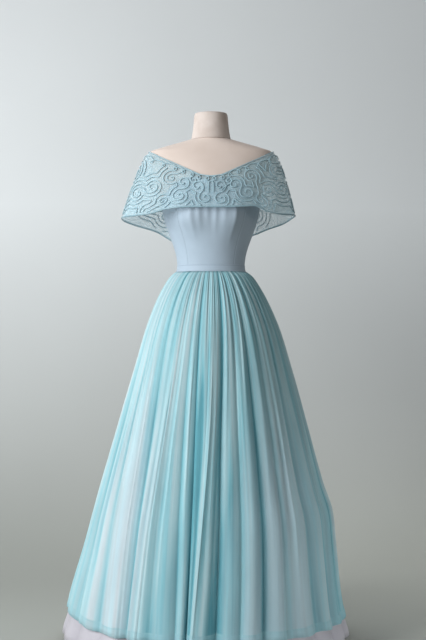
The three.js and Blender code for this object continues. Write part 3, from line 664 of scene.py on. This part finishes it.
def tuckDepth(own, down):
    # uneven long tucks, each with its own place, slant, width, rise and length; positive goes inward
    tucks, soft = skirt["tucks"], skirt["soft"]
    swell = np.sin(soft["perGather"] * own + soft["uneven"] * np.sin(soft["unevenBeat"] * own)
                   + soft["perLength"] * down)
    depth = soft["depth"] * (0.5 + 0.5 * swell) * smooth(soft["from"], soft["full"], down)
    for k in range(tucks["count"]):
        place, slant, rise, length = (scattered(k, n) for n in range(4))
        middle = gatherCount * (k + tucks["shift"] * place) / tucks["count"]
        middle = middle + (slant - 0.5) * tucks["slant"] * down
        apart = (own - middle + gatherCount / 2) % gatherCount - gatherCount / 2
        # one in two starts at the waist, the others lower down
        begin = 0.0 if k % 2 else tucks["lowStart"] * rise
        least, more = tucks["highEnd"] if k % 2 else tucks["lowEnd"]
        finish = least + more * length
        live = smooth(begin - tucks["early"], begin + tucks["fadeIn"], down + tucks["early"])
        live = live * (1 - smooth(finish - tucks["fadeOut"], finish, down))
        size = mix(*tucks["rises"], rise) * mix(tucks["atWaist"], 1, down) * (1 if k % 3 else -1)
        depth = depth - size * live * np.exp(-(apart / mix(*tucks["widths"], slant)) ** 2)
    return depth


def chiffonMarks(columns, share, crease, fromHem):
    # how dark the chiffon is painted, with painted shade in its hollows, gathers and creases, where it lies on
    # the underskirt, and its folded hem
    shade, patches, hem = skirt["shade"], skirt["patches"], skirt["hemBand"]
    own, hollow = columns["gather"], columns["hollow"]
    ripple = (0.5 + 0.5 * np.cos(2 * np.pi * columns["phase"])) ** 2 * (1 - smooth(0.05, 0.4, share))
    # an uneven share from 0 to 1 that changes slowly along and across the folds
    wander = 0.5 + 0.5 * np.sin(0.9 * own + 1.2 * np.sin(0.41 * own) + 5.1 * share
                                + 1.5 * np.sin(6 * share + 1.7 * own))
    # deeper in the fold hollows where folds lie over each other and as painted shade, less high up; painted shade
    # over the gathers near the waist and where the cloth creases inward, a painted highlight where tucks stand
    # out
    tone = shade["base"] + shade["hollow"] * hollow * mix(shade["highUp"], 1, smooth(0.05, 0.5, share))
    side = mix(shade["left"], shade["middle"], smooth(-0.85, -0.1, np.sin(np.radians(columns["hem"]))))
    tone = tone + shade["gather"] * ripple + shade["drift"] * (wander - 0.5) + shade["crease"] * crease + side
    around = 2 * np.pi * patches["count"] * own / gatherCount + patches["start"]
    resting = 0.5 + 0.5 * np.sin(around + patches["lean"] * (share - patches["level"]))
    touching = smooth(0.35, 0.9, mix(resting, wander, patches["uneven"])) * (1 - smooth(0.1, 0.6, hollow))
    stitch = skirt["hemStitch"]
    hemBand = 0.5 * smooth(hem + 0.8, hem - 0.8, fromHem) + 0.4 * np.exp(-((fromHem - hem) / stitch) ** 2)
    return {"toneAndPaintedShade": np.clip(tone, 0, 1), "hemBand": hemBand,
            "touching": touching * smooth(0.2, 0.7, share) * patches["most"]}


def skirtPanels(kind, cuts, points, marks, material):
    pieces = {}
    around = points.shape[1]
    for name, start, end in cuts:
        pick = np.arange(start, end + 1) % around
        piece = clothObject(kind + "_" + name + "_cloth", points[:, pick], material, skirt["shell"],
                            {key: value[:, pick] for key, value in marks.items()})
        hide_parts(kind + "_" + name)
        pieces[kind + "_" + name] = piece
    return pieces


def buildSkirts():
    start, hem, stitch = skirt["start"], skirt["chiffonHem"], skirt["hemStitch"]
    frontCount = len(skirt["frontFlutes"])
    backMiddle = frontCount + skirt["backFlutes"]["count"] // 2
    ways = np.linspace(0, 1, skirt["chiffonRows"]) ** skirt["rowPower"]
    hemRows = 1 - (skirt["hemBand"] + np.array([stitch, 0, -stitch])) / (skirt["waist"] - hem)
    heights = (start - (start - hem) * np.sort(np.append(ways, hemRows)))[:, None]
    columns = {key: value[None, :] for key, value in skirtColumns(skirt["chiffonColumns"]).items()}
    sideways = np.sin(np.radians(columns["hem"]))
    drift = sideways ** 6 * np.where(sideways < 0, *skirt["drift"])  # the hem rides up at the left
    share = (start - heights) / (start - hem)
    z = heights + (drift + skirt["hemWave"] * np.sin(3 * columns["gather"])) * share ** 8
    points, crease = skirtPoints(columns, z, 0, True)
    marks = chiffonMarks(columns, share, crease, z - hem - drift)
    flute = columns["flute"][0]
    first, right, back = (int(np.argmax(flute == k)) for k in (1, frontCount, backMiddle))
    cuts = [("front", first, right), ("back_right", right, back), ("back_left", back, first + len(flute))]
    pieces = skirtPanels("chiffon", cuts, points, marks, chiffon)

    heights = np.linspace(start, skirt["underskirtHem"], skirt["underskirtRows"])[:, None]
    columns = {key: value[None, :] for key, value in skirtColumns(skirt["underskirtColumns"]).items()}
    gap = skirt["gap"]
    high = mix(gap["hip"], gap["waist"], smooth(gap["hipHeight"], skirt["waist"], heights))
    inside = mix(gap["hem"], high, smooth(gap["lowHeight"], gap["hipHeight"], heights))
    inside = inside * smooth(skirt["underskirtHem"], gap["lastBelow"], heights)
    points, _ = skirtPoints(columns, heights, inside, False)
    flute = columns["flute"][0]
    first, right = (int(np.argmax(flute == k)) for k in (1, frontCount))
    cuts = [("front", first, right), ("back", right, first + len(flute))]
    marks = {"toneAndPaintedShade": columns["hollow"]}
    pieces.update(skirtPanels("underskirt", cuts, points, marks, taffeta))
    print("skirts made")
    return pieces

cape = {
    "neckline": [(0, 1464), (15, 1468), (32, 1482), (46, 1496), (57, 1509), (66, 1521), (73, 1532), (80, 1544),
                 (90, 1553), (110, 1547), (140, 1524), (180, 1508)],
    # turn, height and distance from the axis of the hem
    "hem": [(-180, 1246, 148), (-160, 1252, 163), (-145, 1262, 184), (-128, 1300, 214), (-110, 1322, 262),
            (-95, 1334, 284), (-84, 1338, 284), (-72, 1340, 256), (-60, 1344, 222), (-50, 1358, 186),
            (-36, 1363, 166), (-18, 1364, 149), (0, 1364, 143), (18, 1364, 149), (36, 1366, 166),
            (48, 1369, 182), (58, 1352, 206), (72, 1344, 244), (84, 1346, 266), (95, 1345, 268),
            (110, 1326, 248), (128, 1304, 208), (145, 1280, 180), (160, 1258, 163), (180, 1246, 148)],
    "swell": {"left": 0.72, "right": 0.62},
    "ripple": {"count": 11, "rise": 7, "start": 108, "full": 138},
    "ease": {"neckline": 0.5, "overBodice": 0.7, "overShirring": 4.2, "bodiceFrom": 0.1, "shirringFrom": 0.2,
             "shirringFull": 0.6},
    "cloth": 1.4, "shell": 0.5, "rows": 46, "seamGap": 0.2, "seamRadius": 200,
    # panel, its first and last turn, its columns
    "panels": [("back_left", -180, -90, 96), ("front", -90, 90, 220), ("back_right", 90, 180, 96)],
}
necklineHeight, hemHeight, hemRadius = curve(cape["neckline"]), curve(cape["hem"]), curve(cape["hem"], 2)


def capePoints(turn, way):
    held = wrapTurn(turn)
    ease = cape["ease"]
    top = necklineHeight(np.abs(held))
    z = mix(top, hemHeight(held), way)
    spread = mix(1, np.where(held < 0, cape["swell"]["left"], cape["swell"]["right"]),
                 np.abs(np.sin(np.radians(held))))
    overBodice = bodice["ease"] + bodice["cloth"] + mix(ease["overBodice"], ease["overShirring"],
                                                        smooth(ease["shirringFrom"], ease["shirringFull"], way))
    lying = (torsoRadius(held, z) + cape["cloth"] / 2
             + mix(ease["neckline"], overBodice, smooth(0, ease["bodiceFrom"], way)))
    start = torsoRadius(held, top) + cape["cloth"] / 2 + ease["neckline"]
    hanging = mix(start, hemRadius(held), np.clip(way, 0, None) ** spread)
    wave = cape["ripple"]
    behind = smooth(wave["start"], wave["full"], np.abs(held))
    ripple = wave["rise"] * np.cos(np.radians(wave["count"] * held)) * behind * way * way
    return placed(held, np.maximum(lying, hanging + ripple), z)


def capeNormals(turn, way):  # from short steps across and down
    across = capePoints(turn + 0.5, way) - capePoints(turn - 0.5, way)
    down = capePoints(turn, way + 0.01) - capePoints(turn, way - 0.01)
    normal = np.cross(down, across)
    return normal / np.linalg.norm(normal, axis=-1, keepdims=True)


def buildCape():
    pieces = {}
    ways = np.linspace(0, 1, cape["rows"])[:, None]
    inset = math.degrees(cape["seamGap"] / cape["seamRadius"])
    for name, start, end, count in cape["panels"]:
        turns = np.linspace(start + inset, end - inset, count)[None, :]
        piece = clothObject("net_" + name, capePoints(turns, ways), net, cape["shell"])
        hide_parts("cape_" + name)
        pieces[name] = piece
    print("cape made")
    return pieces

soutache = {
    "width": 3.1, "height": 2.8, "lift": 0.5, "stepMm": 3.2, "shortest": 14, "steps": 26, "coils": 1.2,
    # lines that follow the scrolls at these distances, found on a grid over the cape that is softened three times
    "echoes": [12, 25, 38],
    "grid": {"columns": 601, "rows": 66, "ways": (0.12, 0.945), "softened": 3, "parts": 60},
    # a chain of loops below the neckline, the cord along the neckline and the thicker one along the hem
    "loops": {"way": 0.085, "size": 7.6, "count": 31, "stepMm": 2.6, "least": 0.8, "more": 0.35, "beat": 7.3,
              "wide": 1.35},
    "edgeSteps": 2400, "neckline": {"way": 0.008},
    "hem": {"width": 4.6, "way": 0.985, "from": 0.98, "runs": 8, "tone": 0.6},
    # across and up, as shares of half the braid's width and height, and how dark it is painted: a painted
    # highlight on the crowns, painted shade at the sides, in the groove and underneath
    "section": [(1, 0, 0.95), (0.8, 0.6, 0.5), (0.42, 1, 0.1), (0, 0.55, 0.9), (-0.42, 1, 0.1), (-0.8, 0.6, 0.5),
                (-1, 0, 0.95), (0, -0.5, 1.0)],
    # how many of the solids' scrolls are in each region, and the turns that part them
    "regions": {"front": 4, "left": 2, "right": 2, "back": 2}, "frontTo": 52, "backFrom": 130,
    # kind, turn, way down the cape, tilt, size; the first ten are the solids' own scrolls
    "motifs": [
        ("scroll", -38, 0.52, 200, 23), ("scroll", -13, 0.54, -20, 22), ("scroll", 13, 0.54, 195, 22),
        ("scroll", 38, 0.52, -25, 23), ("scroll", -70, 0.56, 255, 23), ("scroll", -108, 0.55, 75, 24),
        ("scroll", 70, 0.56, 290, 23), ("scroll", 108, 0.55, 100, 24), ("scroll", -152, 0.5, 80, 27),
        ("scroll", 152, 0.5, 280, 27),
        ("hairpin", 0, 0.36, 0, 30), ("curl", -25, 0.22, 150, 12), ("curl", 25, 0.24, 20, 12),
        ("curl", -52, 0.3, 200, 14), ("curl", 53, 0.28, -30, 14), ("curl", -54, 0.78, 20, 14),
        ("curl", 55, 0.8, 160, 14), ("curl", -88, 0.3, 100, 15), ("curl", 88, 0.3, 80, 15),
        ("curl", -90, 0.82, 210, 15), ("curl", 90, 0.82, -20, 15), ("curl", -128, 0.3, 60, 15),
        ("curl", 128, 0.3, 110, 15), ("curl", -129, 0.75, 240, 17), ("curl", 130, 0.76, 300, 17),
        ("scroll", 180, 0.5, 0, 22), ("hairpin", 166, 0.18, 0, 20), ("hairpin", -166, 0.18, 0, 20),
    ],
}


def motifPath(kind, size):  # lengths in it are shares of the motif's size
    steps = soutache["steps"]
    way = np.linspace(0, 1, steps + 1)
    if kind == "hairpin":  # two legs joined by an arch
        bend = np.radians(np.linspace(180, 0, 12))
        legs = np.linspace(0, 1, 6)[:, None]
        left = np.hstack([np.full((6, 1), -size * 0.25), size * (legs - 0.2) - size * 0.2])[::-1]
        arch = np.stack([size * 0.25 * np.cos(bend), -size * 0.4 - size * 0.25 * np.sin(bend)], axis=1)
        return np.vstack([left, arch[1:-1], left[::-1] * [-1, 1]])
    angle = 2 * np.pi * soutache["coils"] * way
    reach = size * (0.16 + 0.84 * way)
    half = np.stack([reach * np.cos(angle), reach * np.sin(angle)], axis=1)
    if kind == "curl":  # a coil with a tail that bends away
        heading = half[-1] - half[-2]
        heading = heading / np.linalg.norm(heading)
        bend = np.array([-heading[1], heading[0]])
        tail = np.linspace(0.1, 1, 8)[:, None]
        return np.vstack([half, half[-1] + size * 2.2 * (tail * heading - 0.4 * tail ** 2 * bend)])
    first = half - half[-1]  # two coils joined to an S
    return np.vstack([first, -first[:-1][::-1]])


def resample(points, step):
    gaps = np.linalg.norm(np.diff(points[:, :3], axis=0), axis=1)
    length = np.concatenate([[0], np.cumsum(gaps)])
    count = max(4, int(length[-1] / step))
    at = np.linspace(0, length[-1], count + 1)
    return np.stack([np.interp(at, length, points[:, k]) for k in range(points.shape[1])], axis=1)


def onCape(flat):  # turns and ways to points on the cape, with the turn and way kept beside them
    return np.hstack([capePoints(flat[:, 0], flat[:, 1]), flat])


def capeSize(turn, way):  # its distance from the axis there, and its length from edge to hem
    reach = np.linalg.norm(capePoints(turn, way)[..., :2], axis=-1)
    fall = np.linalg.norm(capePoints(turn, np.zeros_like(turn)) - capePoints(turn, np.ones_like(turn)), axis=-1)
    return reach, fall


def motifSpines():
    spines = []
    for kind, turn, way, tilt, size in soutache["motifs"]:
        tilt = math.radians(tilt)
        reach, fall = capeSize(np.array(float(turn)), np.array(way))
        path = motifPath(kind, size)
        along = path[:, 0] * math.cos(tilt) - path[:, 1] * math.sin(tilt)
        down = path[:, 0] * math.sin(tilt) + path[:, 1] * math.cos(tilt)
        flat = np.stack([turn + np.degrees(along / reach), np.clip(way + down / fall, 0.05, 0.94)], axis=1)
        spines.append(resample(onCape(flat), soutache["stepMm"]))
    return spines


def levelLines(turns, ways, field, level):
    # lines of equal distance through a grid, as chains of turns and ways
    above = field > level
    segments = {}

    def crossing(a, b):
        share = (level - field[a]) / (field[b] - field[a])
        return (mix(turns[a[1]], turns[b[1]], share), mix(ways[a[0]], ways[b[0]], share))

    places = {}
    first = above[:-1, :-1]
    mixed = (first != above[1:, :-1]) | (first != above[:-1, 1:]) | (first != above[1:, 1:])
    for i, j in zip(*np.nonzero(mixed)):
        corners = [(i, j), (i, j + 1), (i + 1, j + 1), (i + 1, j)]
        cut = []
        for a, b in zip(corners, corners[1:] + corners[:1]):
            if above[a] != above[b]:
                key = (min(a, b), max(a, b))
                places.setdefault(key, crossing(*key))
                cut.append(key)
        for a, b in zip(cut[::2], cut[1::2]):
            segments.setdefault(a, []).append(b)
            segments.setdefault(b, []).append(a)
    chains = []
    left = {key: list(value) for key, value in segments.items()}
    ends = [key for key, value in segments.items() if len(value) == 1]
    for start in ends + list(segments):
        while left[start]:
            chain = [start]
            while left[chain[-1]]:
                after = left[chain[-1]].pop()
                left[after].remove(chain[-1])
                chain.append(after)
            chains.append(np.array([places[key] for key in chain]))
    return chains


def echoLines(spines):
    grid = soutache["grid"]
    turns, ways = np.linspace(-180, 180, grid["columns"]), np.linspace(*grid["ways"], grid["rows"])
    dots = np.vstack([spine[:, :3] for spine in spines])
    spots = capePoints(turns[None, :], ways[:, None]).reshape(-1, 3)
    field = np.concatenate([np.sqrt(((part[:, None, :] - dots[None]) ** 2).sum(axis=2)).min(axis=1)
                            for part in np.array_split(spots, grid["parts"])]).reshape(len(ways), len(turns))
    for _ in range(grid["softened"]):  # rounds the corners where two scrolls' fields meet
        padded = np.pad(field, 1, mode="edge")
        field = (padded[:-2, 1:-1] + padded[2:, 1:-1] + padded[1:-1, :-2] + padded[1:-1, 2:] + 4 * field) / 8
    lines = [resample(onCape(chain), soutache["stepMm"]) for level in soutache["echoes"]
             for chain in levelLines(turns, ways, field, level)]
    return [line for line in lines if len(line) > soutache["shortest"]]


def edgeLines():
    loops, hem = soutache["loops"], soutache["hem"]
    around = np.linspace(-180, 180, soutache["edgeSteps"])
    reach, fall = capeSize(around, np.full_like(around, loops["way"]))
    beat = np.radians(around * loops["count"])
    size = loops["size"] * (loops["least"] + loops["more"] * np.sin(around / loops["beat"]) ** 2)
    chain = np.stack([around + np.degrees(loops["wide"] * size * np.sin(beat) / reach),
                      loops["way"] - size * np.cos(beat) / fall], axis=1)
    neckline, hemLine = (resample(onCape(np.stack([around, np.full_like(around, edge["way"])], axis=1)),
                                  soutache["stepMm"]) for edge in (soutache["neckline"], hem))
    run = len(hemLine) // hem["runs"]  # in short runs, so that each joins its own region
    return ([resample(onCape(chain), loops["stepMm"]), neckline]
            + [hemLine[start:start + run + 1] for start in range(0, len(hemLine) - 1, run)])


def regionOf(path):
    middle = float(np.median(path[:, 3]))
    if abs(middle) < soutache["frontTo"]:
        return "front"
    if abs(middle) > soutache["backFrom"]:
        return "back"
    return "left" if middle < 0 else "right"


def buildSoutache():
    spines = motifSpines()
    paths = spines + echoLines(spines) + edgeLines()
    section = np.array(soutache["section"])
    size = len(section)
    pieces = []
    for name, scrolls in soutache["regions"].items():
        points, faces, marks, count = [], [], [], 0
        for line in [path for path in paths if regionOf(path) == name]:
            normal = capeNormals(line[:, 3], line[:, 4])
            forward = np.gradient(line[:, :3], axis=0)
            forward = forward / np.linalg.norm(forward, axis=1, keepdims=True)
            sideways = np.cross(forward, normal)
            centre = line[:, :3] + normal * (cape["cloth"] / 2 + soutache["lift"] + soutache["height"] / 2)
            onHem = line[:, 4].min() > soutache["hem"]["from"]
            width = soutache["hem"]["width"] if onHem else soutache["width"]
            rings = (centre[:, None, :] + sideways[:, None, :] * section[None, :, :1] * width / 2
                     + normal[:, None, :] * section[None, :, 1:2] * soutache["height"] / 2)
            points.append(rings.reshape(-1, 3))
            marks.append(np.tile(np.full(size, soutache["hem"]["tone"]) if onHem else section[:, 2], len(line)))
            faces += [[k + count for k in face] for face in gridFaces(len(line), size, True)]
            last = count + (len(line) - 1) * size
            faces += [[count + k for k in range(size)], [last + k for k in range(size)][::-1]]
            count += len(line) * size
        piece = meshObject("braid_" + name, np.vstack(points), faces, braid)
        layer = piece.data.attributes.new("toneAndPaintedShade", "FLOAT", "POINT")
        layer.data.foreach_set("value", np.concatenate(marks))
        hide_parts(*["soutache_" + name + "_" + str(k + 1) for k in range(scrolls)])
        pieces.append(piece)
        print("braid", name, len(faces) * 2, "triangles")
    return pieces


room = {
    # in metres: the backdrop runs along the floor, bends up and turns a little to one side; its colour darkens
    # towards the floor as a painted shade
    "wall": "#f2f5f6", "floor": "#999b95", "paleFrom": 1.6, "width": 9.0, "front": -7.0, "back": 2.4, "bend": 1.5,
    "height": 6.0, "bendSteps": 24, "columns": 9, "turned": 9.5,
    "lights": {
        "window": {"power": 224, "size": (2.2, 2.6), "place": (-2.9, -2.3, 2.15), "target": (0, 0, 1.0),
                   "colour": "#fbfdff", "spread": 180},
        "fill": {"power": 3, "size": (1.2, 0.5), "place": (1.9, -1.6, 0.25), "target": (0.45, -0.1, 0.15),
                 "colour": "#eef2f4", "spread": 60},
        "glow": {"power": 0.5, "size": (0.6, 0.8), "place": (1.7, -1.0, 1.8), "target": (0.06, 0, 1.6),
                 "colour": "#f7efe8", "spread": 50},
        "bounce": {"power": 9, "size": (2.5, 1.2), "place": (1.4, 1.0, 2.6), "target": (1.4, 0.9, 0),
                   "colour": "#f2f3f2", "spread": 70},
        "behind": {"power": 12, "size": (2.4, 0.8), "place": (-0.9, 1.85, 3.0), "target": (0, 0.1, 1.1),
                   "colour": "#f6f9fa", "spread": 120},
    },
    "sky": {"colour": "#dfe3e5", "strength": 0.205},
}


def areaLight(name, settings):
    data = bpy.data.lights.new(name, "AREA")
    data.shape = "RECTANGLE"
    data.size, data.size_y = settings["size"]
    data.energy = settings["power"]
    data.spread = math.radians(settings["spread"])
    data.color = linear(settings["colour"])[:3]
    light = bpy.data.objects.new(name, data)
    light.location = settings["place"]
    bpy.context.scene.collection.objects.link(light)
    way = np.array(settings["target"]) - np.array(settings["place"])
    light.rotation_euler = (math.atan2(math.hypot(way[0], way[1]), -way[2]), 0,
                            math.atan2(way[1], way[0]) - math.pi / 2)


def buildRoom():
    wall, tree = newMaterial("painted plaster wall")
    place = addNode(tree, "TexCoord")
    height = addNode(tree, "SeparateXYZ", links={0: place.outputs["Object"]})
    # the colour darkens towards the floor below paleFrom: a painted shade for the light falling off low down
    share = addNode(tree, "MapRange", {"From Min": 0.0, "From Max": room["paleFrom"]},
                    {"Value": height.outputs["Z"]})
    colour = addNode(tree, "ValToRGB", {"steps": [(0.0, room["floor"]), (1.0, room["wall"])]},
                     {"Fac": share.outputs[0]})
    # a wall has one painted side: from behind it is open, so that the dress can be seen from there as well
    side = addNode(tree, "NewGeometry")
    painted = addNode(tree, "Math", {"operation": "SUBTRACT", 0: 1.0}, {1: side.outputs["Backfacing"]})
    finishMaterial(tree, {"Roughness": 0.9}, {"Base Color": tinted(tree, colour.outputs[0], 1.2, 0.98, 1.01),
                                              "Alpha": painted.outputs[0]})
    bend, back = room["bend"], room["back"]
    angles = np.radians(np.linspace(0, 90, room["bendSteps"]))
    profile = [(room["front"], 0.0)]
    profile += [(back - bend + bend * math.sin(a), bend - bend * math.cos(a)) for a in angles]
    profile += [(back, room["height"])]
    across = np.linspace(-room["width"], room["width"], room["columns"])
    points = np.array([(x, y, z) for y, z in profile for x in across]) * 1000
    faces = [face[::-1] for face in gridFaces(len(profile), len(across))]
    backdrop = meshObject("backdrop", points, faces, wall, rides=False)
    backdrop.rotation_euler = (0, 0, math.radians(room["turned"]))
    for name, settings in room["lights"].items():
        areaLight(name, settings)
    world = bpy.data.worlds.new("room")
    world.use_nodes = True
    sky = world.node_tree.nodes["Background"]
    sky.inputs["Color"].default_value = linear(room["sky"]["colour"])
    sky.inputs["Strength"].default_value = room["sky"]["strength"]
    bpy.context.scene.world = world
    bpy.context.scene.view_settings.view_transform = "Standard"
    print("room and light made")


buildForm()
bodicePieces, waistband, placket = buildBodice(), buildWaistband(), buildPlacket()
skirtPieces = buildSkirts()
capePieces = buildCape()
braidPieces = buildSoutache()
buildRoom()


def declareCloth():
    print("scene built")


declareCloth()
